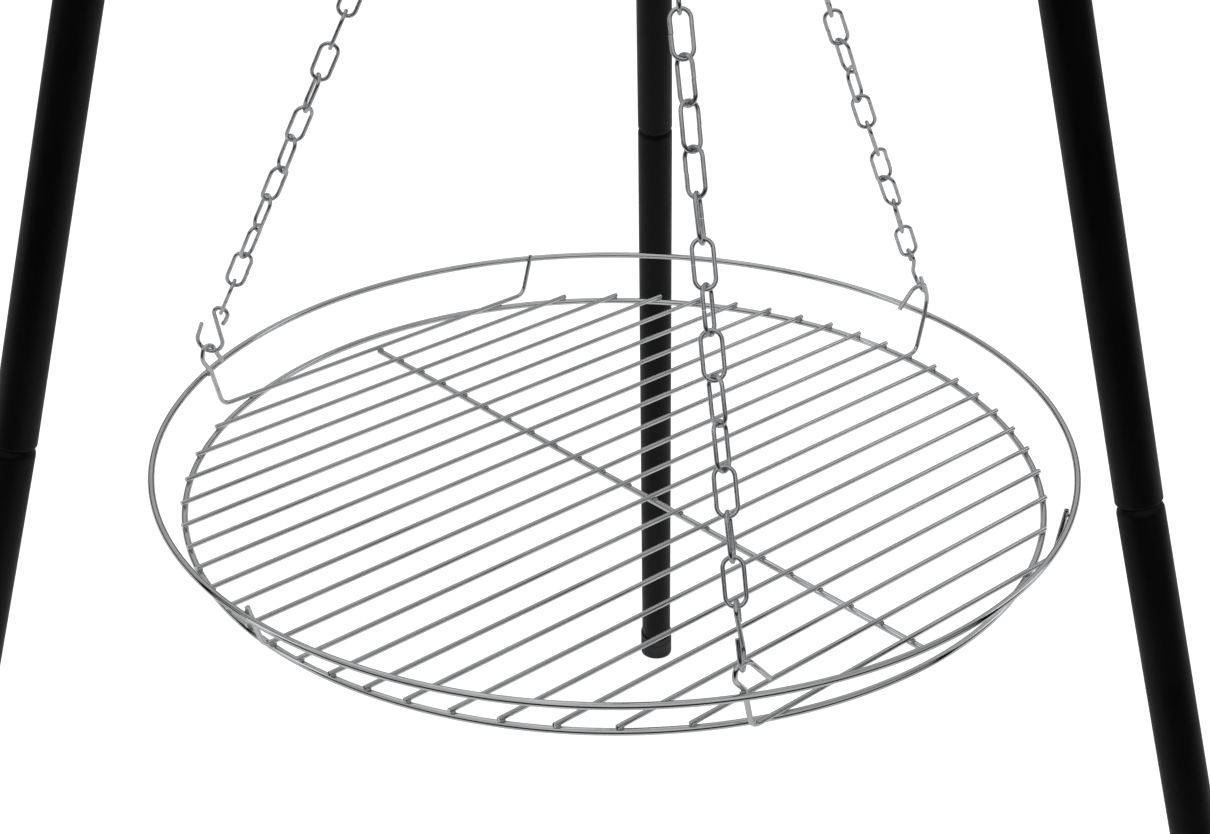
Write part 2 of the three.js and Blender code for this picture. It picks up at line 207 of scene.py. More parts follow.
def piece(name, build, material, body, nodes, sharp=40):
    """Makes one object of a Build: its body and the CAD nodes that it stands for."""
    mesh = bpy.data.meshes.new(name)
    mesh.from_pydata([ORIGIN + v * MM for v in build.vertices], [], build.faces)
    tidy = bmesh.new()
    tidy.from_mesh(mesh)
    bmesh.ops.remove_doubles(tidy, verts=tidy.verts, dist=1e-7)
    bmesh.ops.recalc_face_normals(tidy, faces=tidy.faces)
    tidy.to_mesh(mesh)
    tidy.free()
    mesh.polygons.foreach_set("use_smooth", [True] * len(mesh.polygons))
    mesh.set_sharp_from_angle(angle=math.radians(sharp))
    mesh.materials.append(material)
    made = bpy.data.objects.new(name, mesh)
    bpy.context.scene.collection.objects.link(made)
    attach(made, body)
    if nodes:
        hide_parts(*nodes)
    return made


def circle(radius, sides, height=0.0):
    steps = [2 * math.pi * i / sides for i in range(sides)]
    return [Vector((radius * math.cos(a), radius * math.sin(a), height)) for a in steps]


def lathe(build, profile, segments, matrix=None, closed=True):
    """A solid of revolution about Z from (radius, height) points, closed on itself or on the axis."""
    rings = [circle(max(r, 1e-4), segments, z) for r, z in profile]
    return build.grid(rings, closed, matrix)


def arc_profile(centre, radius, start, end, steps):
    """Points of an arc in a profile, angles in degrees."""
    angles = [math.radians(start + (end - start) * i / steps) for i in range(steps + 1)]
    return [(centre[0] + radius * math.cos(a), centre[1] + radius * math.sin(a)) for a in angles]


def sweep(build, points, radius, sides=14, closed=False, matrix=None, chamfer=0.3):
    """A round wire along the points. Open ends are cut square with a small chamfer."""
    points = [Vector(p) for p in points]
    radii = [radius] * len(points)
    if not closed:
        first, last = (points[1] - points[0]).normalized(), (points[-1] - points[-2]).normalized()
        points = [points[0], points[0] + first * chamfer, *points[1:-1], points[-1] - last * chamfer,
                  points[-1]]
        radii = [radius - chamfer, radius, *radii[1:-1], radius, radius - chamfer]
    count = len(points)

    def tangent(i):
        if closed:
            return (points[(i + 1) % count] - points[i - 1]).normalized()
        return (points[min(i + 1, count - 1)] - points[max(i - 1, 0)]).normalized()

    tangents = [tangent(i) for i in range(count)]
    side = tangents[0].orthogonal().normalized()
    sides_at = [side]
    for before, after in zip(tangents, tangents[1:]):
        side = before.rotation_difference(after) @ side
        side = (side - after * side.dot(after)).normalized()
        sides_at.append(side)
    twist = 0.0
    if closed:
        back = tangents[-1].rotation_difference(tangents[0]) @ sides_at[-1]
        twist = math.atan2(back.cross(sides_at[0]).dot(tangents[0]), back.dot(sides_at[0]))
    rings = []
    for i, (point, t, side, r) in enumerate(zip(points, tangents, sides_at, radii)):
        side = Quaternion(t, twist * i / count) @ side
        other = t.cross(side)
        steps = [2 * math.pi * j / sides for j in range(sides)]
        rings.append([point + (side * math.cos(a) + other * math.sin(a)) * r for a in steps])
    return build.grid(rings, closed, matrix)


def rounded(corners, cut, steps=8):
    """The polyline with each corner replaced by a curve that leaves it cut millimetres away."""
    corners = [Vector(c) for c in corners]
    points = [corners[0]]
    for before, corner, after in zip(corners, corners[1:], corners[2:]):
        reach = min(cut, (corner - before).length * 0.49, (after - corner).length * 0.49)
        enter = corner + (before - corner).normalized() * reach
        leave = corner + (after - corner).normalized() * reach
        for i in range(steps + 1):
            u = i / steps
            points.append(enter * (1 - u) ** 2 + corner * 2 * u * (1 - u) + leave * u**2)
    return [*points, corners[-1]]


def arc_points(centre, radius, start, end, steps):
    """Points of an arc in the XZ plane, angles in radians."""
    angles = [start + (end - start) * i / steps for i in range(steps + 1)]
    return [centre + Vector((radius * math.cos(a), 0, radius * math.sin(a))) for a in angles]


def blob(build, centre, size, axes, lumpiness=0.12):
    """A lump of weld metal: size is its half length along each of the three axes."""
    rows, columns = 7, 12
    points = []
    for i in range(1, rows):
        lat = math.pi * i / rows - math.pi / 2
        ring = []
        for j in range(columns):
            lon = 2 * math.pi * j / columns
            r = 1 + random.uniform(-lumpiness, lumpiness)
            unit = (math.cos(lat) * math.cos(lon), math.cos(lat) * math.sin(lon), math.sin(lat))
            ring.append(centre + sum((a * u * s * r for a, u, s in zip(axes, unit, size)), Vector()))
        points.append(ring)
    return build.grid(points, False)


def hexagon(build, across, bottom, top, bore, matrix=None):
    """A hexagon nut or bolt head about Z, with both rims turned down to a cone; bore 0 is solid."""
    steps = 48
    flat = across / 2

    def ring(height_at):
        made = []
        for i in range(steps):
            a = 2 * math.pi * i / steps
            off = (a + math.pi / 6) % (math.pi / 3) - math.pi / 6
            made.append((a, flat / math.cos(off)))
        return [Vector((r * math.cos(a), r * math.sin(a), height_at(r))) for a, r in made]

    rim = flat * 0.97
    slope = math.tan(math.radians(30))
    rings = [
        circle(rim, steps, bottom),
        ring(lambda r: bottom + (r - rim) * slope),
        ring(lambda r: top - (r - rim) * slope),
        circle(rim, steps, top),
    ]
    if bore:
        rings += [circle(bore + 0.5, steps, top), circle(bore, steps, top - 0.5)]
        rings += [circle(bore, steps, bottom + 0.5), circle(bore + 0.5, steps, bottom)]
    return build.grid(rings, bool(bore), matrix)


def thread(build, radius, bottom, top, pitch, matrix=None):
    """A screw thread about Z whose crest winds round it, with tapered ends."""
    sides, steps_per_turn, depth = 24, 6, pitch * 0.5
    count = int((top - bottom) / pitch * steps_per_turn)
    rings = []
    for i in range(count + 1):
        z = bottom + (top - bottom) * i / count
        run_out = min(1.0, (top - z) / pitch + 0.25)
        ring = []
        for j in range(sides):
            phase = ((z - bottom) / pitch - j / sides) % 1
            r = (radius - depth * abs(2 * phase - 1)) * (0.82 + 0.18 * run_out)
            a = 2 * math.pi * j / sides
            ring.append(Vector((r * math.cos(a), r * math.sin(a), z)))
        rings.append(ring)
    return build.grid(rings, False, matrix)


def plate_shape(build, outlines, thickness, bevel, matrix):
    """A flat shape in XY, centred on Z: the first outline is its edge and the others are holes."""
    curve = bpy.data.curves.new("outline", "CURVE")
    curve.dimensions, curve.fill_mode = "2D", "BOTH"
    curve.extrude, curve.bevel_depth = thickness / 2 - bevel, bevel
    curve.bevel_resolution, curve.offset = 3, -bevel
    for outline in outlines:
        spline = curve.splines.new("POLY")
        spline.points.add(len(outline) - 1)
        spline.use_cyclic_u = True
        for point, (x, y) in zip(spline.points, outline):
            point.co = (x, y, 0, 1)
    holder = bpy.data.objects.new("outline", curve)
    mesh = bpy.data.meshes.new_from_object(holder)
    build.add([v.co.copy() for v in mesh.vertices], [tuple(p.vertices) for p in mesh.polygons], matrix)
    bpy.data.objects.remove(holder)
    bpy.data.curves.remove(curve)
    bpy.data.meshes.remove(mesh)
    return build


# ---------- materials ----------
class Shader:
    """A Principled material and short ways to wire noise into it."""

    def __init__(self, name, color, metallic, roughness):
        self.material = bpy.data.materials.new(name)
        self.material.use_nodes = True
        self.tree = self.material.node_tree
        self.bsdf = self.tree.nodes["Principled BSDF"]
        self.set("Base Color", (*color, 1))
        self.set("Metallic", metallic)
        self.set("Roughness", roughness)
        coordinates = self.tree.nodes.new("ShaderNodeTexCoord")
        self.place = coordinates.outputs["Object"]

    def set(self, socket, value):
        self.bsdf.inputs[socket].default_value = value

    def link(self, out, into):
        self.tree.links.new(out, into)

    def noise(self, size_mm, detail=3.0, distortion=0.0):
        """Noise whose features are about size_mm across."""
        node = self.tree.nodes.new("ShaderNodeTexNoise")
        node.inputs["Scale"].default_value = 1 / (size_mm * MM)
        node.inputs["Detail"].default_value = detail
        node.inputs["Distortion"].default_value = distortion
        self.link(self.place, node.inputs["Vector"])
        return node.outputs["Fac"]

    def spread(self, value, low, high, start=0.3, end=0.7):
        """value, from start to end, mapped to low to high."""
        node = self.tree.nodes.new("ShaderNodeMapRange")
        for name, number in (("From Min", start), ("From Max", end), ("To Min", low), ("To Max", high)):
            node.inputs[name].default_value = number
        self.link(value, node.inputs["Value"])
        return node.outputs["Result"]

    def between(self, factor, a, b):
        """A colour between a and b by the factor."""
        node = self.tree.nodes.new("ShaderNodeMix")
        node.data_type = "RGBA"
        node.inputs[6].default_value = (*a, 1)
        node.inputs[7].default_value = (*b, 1)
        self.link(factor, node.inputs["Factor"])
        return node.outputs[2]

    def bump(self, layers):
        """Bump from (height, depth in millimetres) layers, one after the other."""
        normal = None
        for height, depth in layers:
            node = self.tree.nodes.new("ShaderNodeBump")
            node.inputs["Distance"].default_value = depth * MM
            self.link(height, node.inputs["Height"])
            if normal:
                self.link(normal, node.inputs["Normal"])
            normal = node.outputs["Normal"]
        self.link(normal, self.bsdf.inputs["Normal"])


def chrome_material():
    s = Shader("bright_chrome", (0.56, 0.565, 0.575), 1.0, 0.12)
    s.link(s.spread(s.noise(9, 4), 0.05, 0.14), s.bsdf.inputs["Roughness"])
    s.link(s.between(s.spread(s.noise(30, 3), 0, 1), (0.7, 0.705, 0.715), (0.58, 0.585, 0.595)),
           s.bsdf.inputs["Base Color"])
    s.bump([(s.noise(0.7, 4), 0.006), (s.noise(5, 2), 0.03)])
    return s.material


def weld_material():
    s = Shader("chromed_weld", (0.6, 0.6, 0.61), 1.0, 0.3)
    s.link(s.spread(s.noise(1.2, 4), 0.16, 0.42), s.bsdf.inputs["Roughness"])
    s.link(s.between(s.spread(s.noise(2, 3), 0, 1), (0.55, 0.55, 0.56), (0.36, 0.355, 0.35)),
           s.bsdf.inputs["Base Color"])
    s.bump([(s.noise(0.5, 4), 0.05), (s.noise(1.5, 2), 0.15)])
    return s.material


def zinc_material():
    s = Shader("bright_zinc", (0.66, 0.67, 0.69), 1.0, 0.22)
    s.link(s.spread(s.noise(2.5, 4), 0.13, 0.34), s.bsdf.inputs["Roughness"])
    s.link(s.between(s.spread(s.noise(6, 4, 0.6), 0, 1), (0.62, 0.63, 0.645), (0.46, 0.465, 0.48)),
           s.bsdf.inputs["Base Color"])
    s.bump([(s.noise(0.35, 4), 0.012), (s.noise(2, 2), 0.04)])
    return s.material


def paint_material():
    s = Shader("black_powder_coat", (0.012, 0.012, 0.013), 0.0, 0.42)
    s.set("Specular IOR Level", 0.12)
    s.link(s.spread(s.noise(28, 5), 0.36, 0.5), s.bsdf.inputs["Roughness"])
    fade = s.spread(s.noise(55, 5), 0, 1, 0.35, 0.75)
    s.link(s.between(fade, (0.002, 0.002, 0.0022), (0.005, 0.005, 0.0054)), s.bsdf.inputs["Base Color"])
    s.bump([(s.noise(0.9, 3), 0.035), (s.noise(4, 2), 0.05)])
    return s.material


def plastic_material():
    s = Shader("black_foot_plastic", (0.015, 0.015, 0.016), 0.0, 0.6)
    s.set("Specular IOR Level", 0.4)
    s.link(s.spread(s.noise(4, 4), 0.5, 0.72), s.bsdf.inputs["Roughness"])
    s.link(s.between(s.spread(s.noise(7, 5), 0, 1, 0.45, 0.8), (0.013, 0.013, 0.014), (0.035, 0.034, 0.033)),
           s.bsdf.inputs["Base Color"])
    s.bump([(s.noise(0.5, 3), 0.03), (s.noise(3, 3), 0.05)])
    return s.material


CHROME = chrome_material()
WELD = weld_material()
ZINC = zinc_material()
PAINT = paint_material()
PLASTIC = plastic_material()


# ---------- legs ----------
def section_frame(node, top_above_start):
    """Local frame of a leg section: Z up its axis, X outwards, the origin at its joint."""
    low, high = ends_of(node)
    up = (high - low).normalized()
    start = high - up * top_above_start
    outwards = Vector((start.x, start.y, 0))
    across = up.cross(outwards).normalized()
    outwards = across.cross(up)
    return Matrix.Translation(start) @ Matrix((outwards, across, up)).transposed().to_4x4()


def rim_profile(bottom):
    """Rolled-in end of an upper tube: from the bore round to the outside."""
    r = 0.62
    inner = arc_profile((BORE_R + r, bottom + r), r, 180, 270, 5)
    outer = arc_profile((TUBE_R - 1.0 - r * 0.2, bottom + 1.1), 1.1, -80, 0, 6)
    return inner + [(min(x, TUBE_R), z) for x, z in outer]


def upper_tube(node):
    place = section_frame(node, COLLAR_BOTTOM)
    profile = rim_profile(-SECTION)
    profile += [(TUBE_R, z) for z in (-SECTION * 0.5, COLLAR_BOTTOM - 0.5)]
    profile += [(TUBE_R - 0.35, COLLAR_BOTTOM), (BORE_R, COLLAR_BOTTOM), (BORE_R, -SECTION + 40)]
    return lathe(Build(), profile, 64, place)


def neck_profile():
    """Shoulder that narrows to the spigot, then the spigot, its open end and its bore."""
    spigot_bore = SPIGOT_R - TUBE_WALL
    shoulder = [(TUBE_R, -5.2), (TUBE_R - 0.12, -4.2), (TUBE_R - 0.5, -3.0), (TUBE_R - 1.1, -1.9),
                (NECK_R + 0.35, -1.0), (NECK_R - 0.1, -0.5), (SPIGOT_R + 0.1, 0.4)]
    spigot = [(SPIGOT_R, 2), (SPIGOT_R, SPIGOT_LENGTH - 1.5), (SPIGOT_R - 0.5, SPIGOT_LENGTH)]
    inside = [(spigot_bore, SPIGOT_LENGTH), (spigot_bore, -8), (BORE_R, -15)]
    return shoulder + spigot + inside


def necked_tube(node, bottom, has_rim):
    place = section_frame(node, SPIGOT_LENGTH)
    start = rim_profile(bottom) if has_rim else [(BORE_R, bottom), (TUBE_R, bottom)]
    profile = start + [(TUBE_R, bottom * 0.5)] + neck_profile()
    return lathe(Build(), profile, 64, place)


def foot_cap(lower_tube):
    place = section_frame(lower_tube, SPIGOT_LENGTH)
    outer, inner = TUBE_R + 1.1, TUBE_R + 0.1
    bottom, lip, floor = -SECTION, -SECTION + CAP_LENGTH, -SECTION + FOOT_SOLE
    edge = arc_profile((outer - 5.2, bottom + 5.2), 5.2, -90, 0, 10)
    groove = [(outer, lip - 7.6), (outer - 0.35, lip - 7.2), (outer - 0.35, lip - 6.4), (outer, lip - 6)]
    lip_edge = arc_profile((outer - 0.45, lip - 0.45), 0.45, 0, 90, 4)
    profile = [(0, bottom), *edge, *groove, *lip_edge, (inner, lip), (inner, floor), (0, floor)]
    return lathe(Build(), profile, 64, place, closed=False)


def level(made):
    """Cuts a foot cap level with the ground, where it has settled flat."""
    mesh = bmesh.new()
    mesh.from_mesh(made.data)
    everything = [*mesh.verts, *mesh.edges, *mesh.faces]
    cut = bmesh.ops.bisect_plane(
        mesh, geom=everything, dist=1e-7, plane_co=(0, 0, 0), plane_no=(0, 0, -1), clear_outer=True
    )
    edges = [e for e in cut["geom_cut"] if isinstance(e, bmesh.types.BMEdge)]
    bmesh.ops.edgeloop_fill(mesh, edges=edges)
    bmesh.ops.recalc_face_normals(mesh, faces=mesh.faces)
    mesh.to_mesh(made.data)
    mesh.free()


def tongue(upper_node):
    place = section_frame(upper_node, COLLAR_BOTTOM)
    build = Build()
    rounded_top = arc_profile((0, 0), 12, 0, 180, 24)
    outline = [(-10.5, -27), (10.5, -27), (12, -4), *rounded_top, (-12, -4)]
    hole = arc_profile((0, 0), BOLT_R + GAP, 360, 15, 23)
    upright = Matrix.Rotation(math.pi / 2, 4, "X")
    plate_shape(build, [outline, hole], TONGUE_THICKNESS, 0.5, place @ upright)
    collar = [(6, -30), *arc_profile((TUBE_R - 0.5, -29.5), 0.5, -90, 0, 4)]
    collar += [*arc_profile((TUBE_R - 0.9, -26.9), 0.9, 0, 90, 5), (6, -26)]
    lathe(build, collar, 48, place)
    plug = [(0, -62), (BORE_R - 1, -62), (BORE_R - GAP, -61), (BORE_R - GAP, -29), (0, -29)]
    lathe(build, plug, 48, place, closed=False)
    return build


def add_leg(name):
    body = f"leg_{name}"
    upper, middle, lower, cap = (
        f"leg_{name}_{part}" for part in ("upper_tube", "middle_tube", "lower_tube", "foot_cap")
    )
    piece(f"{body}.tongue", tongue(upper), ZINC, body, [f"leg_{name}_tongue"])
    piece(f"{body}.upper_tube", upper_tube(upper), PAINT, body, [upper])
    piece(f"{body}.middle_tube", necked_tube(middle, -SECTION, True), PAINT, body, [middle])
    tube = necked_tube(lower, -SECTION + FOOT_SOLE + GAP, False)
    piece(f"{body}.lower_tube", tube, PAINT, body, [lower])
    made = piece(f"{body}.foot_cap", foot_cap(lower), PLASTIC, body, [cap])
    level(made)


# ---------- head ----------
def hinge_frame(name):
    """X outwards, Z up, the origin on the hinge axis."""
    joint = next(j for j in frame["joints"] if j["child"] == f"leg_{name}")
    centre = local(Vector(joint["pos_m"]))
    outwards = Vector((centre.x, centre.y, 0)).normalized()
    across = Vector((0, 0, 1)).cross(outwards)
    axes = Matrix((outwards, across, Vector((0, 0, 1)))).transposed().to_4x4()
    return Matrix.Translation(centre) @ axes


def bracket(place):
    build = Build()
    top = PLATE_ABOVE_HINGE - GAP
    bridge_bottom = top - EAR_THICKNESS
    inner_half = TONGUE_THICKNESS / 2 + GAP
    arc = arc_profile((0, 0), EAR_R, 180, 360, 28)
    outline = [(-EAR_R, bridge_bottom + 1), *arc, (EAR_R, bridge_bottom + 1)]
    hole = arc_profile((0, 0), BOLT_R + GAP, 360, 15, 23)
    upright = Matrix.Rotation(math.pi / 2, 4, "X")
    for side in (-1, 1):
        shift = Matrix.Translation((0, side * (inner_half + EAR_THICKNESS / 2), 0))
        plate_shape(build, [outline, hole], EAR_THICKNESS, 0.4, place @ shift @ upright)
    half = inner_half + EAR_THICKNESS
    bridge = [(-EAR_R, -half), (EAR_R, -half), (EAR_R, half), (-EAR_R, half)]
    lift = Matrix.Translation((0, 0, bridge_bottom + EAR_THICKNESS / 2))
    plate_shape(build, [bridge], EAR_THICKNESS, 0.5, place @ lift)
    return build


def hinge_bolt(place):
    build = Build()
    face = TONGUE_THICKNESS / 2 + GAP + EAR_THICKNESS + GAP
    turn = place @ Matrix.Rotation(math.pi / 2, 4, "X")
    washer = WASHER_THICKNESS
    hexagon(build, BOLT_FLATS, face + washer, face + 5.3, 0, turn)
    hexagon(build, BOLT_FLATS, -face - 6.5, -face - washer, BOLT_R, turn)
    for low, high in ((face, face + washer), (-face - washer, -face)):
        lathe(build, [(4.2, low), (6.6, low), (6.8, (low + high) / 2), (6.6, high), (4.2, high)], 36, turn)
    shank = [(0, face + 2), (BOLT_R, face + 2), (BOLT_R, -face), (0, -face)]
    lathe(build, shank[::-1], 24, turn, closed=False)
    thread(build, BOLT_R, -face - 0.2, -face - 9.3, -1.25, turn)
    return build


def weld_bead(build, start, end, radius, spacing=1.9):
    """Overlapping lumps along a line, as a hand-laid fillet weld."""
    run = end - start
    count = max(2, int(run.length / spacing))
    along = run.normalized()
    other = along.orthogonal().normalized()
    axes = (along, other, along.cross(other))
    for i in range(count + 1):
        blob(build, start + run * (i / count), (radius * 1.15, radius, radius), axes, 0.06)


def add_head():
    low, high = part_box("head_plate")
    bottom, top = local(low).z, local(high).z
    hole = HOOK_WIRE_R + GAP
    edge = arc_profile((PLATE_R - 1.2, bottom + 1.2), 1.2, -90, 0, 6)
    edge += arc_profile((PLATE_R - 1.2, top - 1.2), 1.2, 0, 90, 6)
    profile = [(hole, bottom + 0.4), (hole + 0.4, bottom), *edge, (hole + 0.4, top), (hole, top - 0.4)]
    build = lathe(Build(), profile, 96)
    piece("head.plate", build, PAINT, "head", ["head_plate"])
    for name in LEG_NAMES:
        place = hinge_frame(name)
        piece(f"head.bracket_{name}", bracket(place), PAINT, "head",
              [f"head_bracket_{name}"])
        piece(f"head.bolt_{name}", hinge_bolt(place), ZINC, "head", [f"hinge_bolt_{name}"])
        beads = Build()
        half = TONGUE_THICKNESS / 2 + GAP + EAR_THICKNESS
        for side in (-1, 1):
            seam = PLATE_ABOVE_HINGE - 0.7
            ends = [place @ Vector((x, side * half, seam)) for x in (-EAR_R + 1, EAR_R - 1)]
            weld_bead(beads, *ends, 1.3)
        piece(f"head.weld_{name}", beads, PAINT, "head", [], sharp=80)


def add_head_hook():
    low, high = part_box("head_hook")
    bowl_z = local(low).z + HOOK_WIRE_R + HOOK_BOWL_R
    shank_top = local(high).z
    plate_bottom = local(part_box("head_plate")[0]).z
    build = Build()
    thread_start = plate_bottom - 9
    neck = rounded(
        [(0, 0, thread_start), (0, 0, bowl_z + 20), (-HOOK_BOWL_R, 0, bowl_z + 9), (-HOOK_BOWL_R, 0, bowl_z)],
        6, 10,
    )
    bowl = arc_points(Vector((0, 0, bowl_z)), HOOK_BOWL_R, -math.pi, 0, 28)
    tip = rounded([bowl[-1], (HOOK_BOWL_R + 0.2, 0, bowl_z + 5), (HOOK_BOWL_R + 1.5, 0, bowl_z + 10)], 3, 4)
    sweep(build, [*neck[:-1], *bowl[:-1], *tip], HOOK_WIRE_R, 24, chamfer=1.2)
    thread(build, HOOK_WIRE_R, thread_start, shank_top, 1.25)
    piece("hook.hook", build, ZINC, "hook", ["head_hook"])
    low, high = (local(corner).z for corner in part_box("head_hook_nut"))
    nut = hexagon(Build(), HOOK_NUT_FLATS, low + 1.2, high, HOOK_WIRE_R)
    washer = [(4.4, low), (8.2, low), (8.4, low + 0.6), (8.2, low + 1.1), (4.4, low + 1.1)]
    lathe(nut, washer, 40)
    piece("hook.nut", nut, ZINC, "hook", ["head_hook_nut"])


# ---------- chains ----------
def link_points(half_length, half_width, seam_gap, seam_shift):
    """Centre line of a link in XZ, from its cut round to its cut: a wire bent to a long oval."""
    straight = half_length - half_width
    top = arc_points(Vector((0, 0, straight)), half_width, 0, math.pi, 14)
    bottom = arc_points(Vector((0, 0, -straight)), half_width, math.pi, 2 * math.pi, 14)
    start = Vector((half_width + seam_shift, 0, seam_gap / 2))
    end = Vector((half_width - seam_shift, 0, -seam_gap / 2))
    blend_up = Vector((half_width + seam_shift * 0.6, 0, straight * 0.5))
    blend_down = Vector((half_width - seam_shift * 0.6, 0, -straight * 0.5))
    return [start, blend_up, *top, *bottom, blend_down, end]


def add_chain(build, start, end, half_width, turn_at):
    """Links from start to end, where start and end are the middles of the outer links' end wires."""
    run = end - start
    count = math.ceil((run.length - 2 * LINK_WIRE_R) / LINK_PITCH - 0.4)
    pitch = (run.length - 2 * LINK_WIRE_R) / count
    half_length = pitch / 2 + LINK_WIRE_R
    up = run.normalized()
    side = up.orthogonal().normalized()
    side = (Vector((1, 0, 0)) - up * up.x).normalized() if abs(up.x) < 0.9 else side
    for i in range(count):
        centre = start + up * (half_length + pitch * i)
        turn = Quaternion(up, math.radians(turn_at(i)))
        across = turn @ side
        tilt = Quaternion(across, math.radians(random.uniform(-1.2, 1.2)))
        axis = tilt @ up
        place = Matrix((across, axis.cross(across), axis)).transposed().to_4x4()
        flip = Matrix.Rotation(math.pi * random.randrange(2), 4, "Z")
        points = link_points(half_length, half_width, 0.12, random.uniform(-0.16, 0.16))
        sweep(build, points, LINK_WIRE_R, 12, matrix=Matrix.Translation(centre) @ place @ flip, chamfer=0.12)


# ---------- grate ----------
ALONG = Vector((math.cos(BAR_AZIMUTH), math.sin(BAR_AZIMUTH), 0))
ACROSS = Vector((-math.sin(BAR_AZIMUTH), math.cos(BAR_AZIMUTH), 0))
UP = Vector((0, 0, 1))


def bar_offset(index):
    return BAR_ROW_SHIFT + ((BAR_COUNT - 1) / 2 - index) * BAR_PITCH


def on_bar(index, along, height):
    return ACROSS * bar_offset(index) + ALONG * along + UP * height


def arm_reach(index):
    contact = RING_R - RING_WIRE_R - BAR_WIRE_R - GAP
    return math.sqrt(contact**2 - bar_offset(index) ** 2)


def ring_piece(name, radius, drop, body, node):
    build = Build()
    steps = 288
    angles = [2 * math.pi * i / steps for i in range(steps)]
    points = [Vector((radius * math.cos(a), radius * math.sin(a), -drop)) for a in angles]
    sweep(build, points, RING_WIRE_R, 18, closed=True)
    piece(name, build, CHROME, body, [node])


def hook_bar(name, index, side, eye, **_):
    reach = arm_reach(index)
    build = Build()

    def at(end, outwards, height):
        return on_bar(index, end * (reach + outwards), height)

    riser = [at(-side, 1, 4), at(-side, -7, BAR_Z), at(side, -7, BAR_Z), at(side, -0.5, 2)]
    arm = [at(side, -0.5, 2), *(at(side, *corner) for corner in eye)]
    feet = rounded(riser, BAR_BEND)
    loop = rounded(arm, EYE_BEND, 10)
    sweep(build, [*feet[:-1], *loop], BAR_WIRE_R, 16, chamfer=0.25)
    piece(f"grate.hook_bar_{name}", build, CHROME, "grate", [f"hook_bar_{name}"])


def straight_bar(node, wire_r=BAR_WIRE_R):
    low, high = ends_of(node)
    build = Build()
    run = high - low
    bow = UP * random.uniform(-0.15, 0.1) + ACROSS * random.uniform(-0.25, 0.25)
    points = [low + run * u + bow * (4 * u * (1 - u)) for u in (i / 8 for i in range(9))]
    sweep(build, points, wire_r, 16, chamfer=0.25)
    piece(f"grate.{node}", build, CHROME, "grate", [node])


def ring_crossings(radius, index):
    """Where a bar crosses a ring of that radius: the two distances along the bar."""
    half = math.sqrt(radius**2 - bar_offset(index) ** 2)
    return -half, half


def add_welds():
    """Nuggets where the bars meet the lower ring, the cross bar and the upper ring."""
    nuggets = Build()
    cross_low, cross_high = (p.dot(ACROSS) for p in ends_of("cross_bar"))
    if cross_low > cross_high:
        cross_low, cross_high = cross_high, cross_low
    for index in range(BAR_COUNT):
        for along in ring_crossings(LOWER_RING_R, index):
            centre = on_bar(index, along, BAR_Z - BAR_WIRE_R + 0.05)
            tangent = Vector((-centre.y, centre.x, 0)).normalized()
            blob(nuggets, centre, (2.1, 1.7, 0.95), (tangent, tangent.cross(UP), UP))
        if cross_low < bar_offset(index) < cross_high:
            centre = on_bar(index, 0, BAR_Z - BAR_WIRE_R - 0.15)
            for side in (-1, 1):
                shift = ACROSS * side * 1.4 + ALONG * random.uniform(-0.5, 0.5)
                blob(nuggets, centre + shift, (1.5, 1.25, 0.9), (ALONG, ACROSS, UP))
    for bar in HOOK_BARS.values():
        for end in (-1, 1):
            reach = arm_reach(bar["index"]) + 0.6
            centre = on_bar(bar["index"], end * reach, 0.6)
            outwards = Vector((centre.x, centre.y, 0)).normalized()
            blob(nuggets, centre + outwards * 0.6, (1.0, 1.9, 1.7), (outwards, outwards.cross(UP), UP))
    piece("grate.weld_nuggets", nuggets, WELD, "grate", [], sharp=80)


def s_hook_points():
    large = Vector((0, 0, S_LARGE_R))
    small = Vector((0, 0, S_LARGE_R + S_LOOP_DISTANCE))
    upper = arc_points(small, S_SMALL_R, -0.1, math.pi + 0.35, 18)
    lower = arc_points(large, S_LARGE_R, 0.35, -math.pi, 24)
    tip = [large + Vector((-S_LARGE_R - 0.2, 0, 4)), large + Vector((-S_LARGE_R - 0.6, 0, 9))]
    start = [small + Vector((S_SMALL_R - 0.8, 0, -6.5)), small + Vector((S_SMALL_R - 0.1, 0, -3))]
    return [*start, *upper, *lower, *tip]


def turn_of(name, i):
    turns = CHAIN_TURNS[name]
    if i < len(turns):
        return turns[i]
    return turns[-1] + 90 * (i - len(turns) + 1) + 8 * math.sin(i * 1.7)


def add_suspension(name, index, side, carry, facing, **_):
    outwards, height = carry
    eye = on_bar(index, side * (arm_reach(index) + outwards), height)
    apex = UP * APEX_HEIGHT
    up = (apex - eye).normalized()
    face = Vector((math.cos(math.radians(facing)), math.sin(math.radians(facing)), 0))
    across = (face - up * face.dot(up)).normalized()
    seat = eye - up * (BAR_WIRE_R + S_WIRE_R + 0.1)
    place = Matrix.Translation(seat) @ Matrix((across, up.cross(across), up)).transposed().to_4x4()
    hook = sweep(Build(), s_hook_points(), S_WIRE_R, 16, matrix=place, chamfer=0.25)
    piece(f"grate.s_hook_{name}", hook, ZINC, "grate", [f"s_hook_{name}"])
    hook_top = S_LARGE_R + S_LOOP_DISTANCE + S_SMALL_R
    start = seat + up * (hook_top - S_WIRE_R - LINK_WIRE_R - 0.05)
    end = apex + up * (APEX_WIRE_R + LINK_WIRE_R)
    chain = Build()
    add_chain(chain, start, end, LINK_HALF_WIDTH, lambda i: turn_of(name, i))
    piece(f"grate.chain_{name}", chain, ZINC, "grate", [f"chain_{name}"])


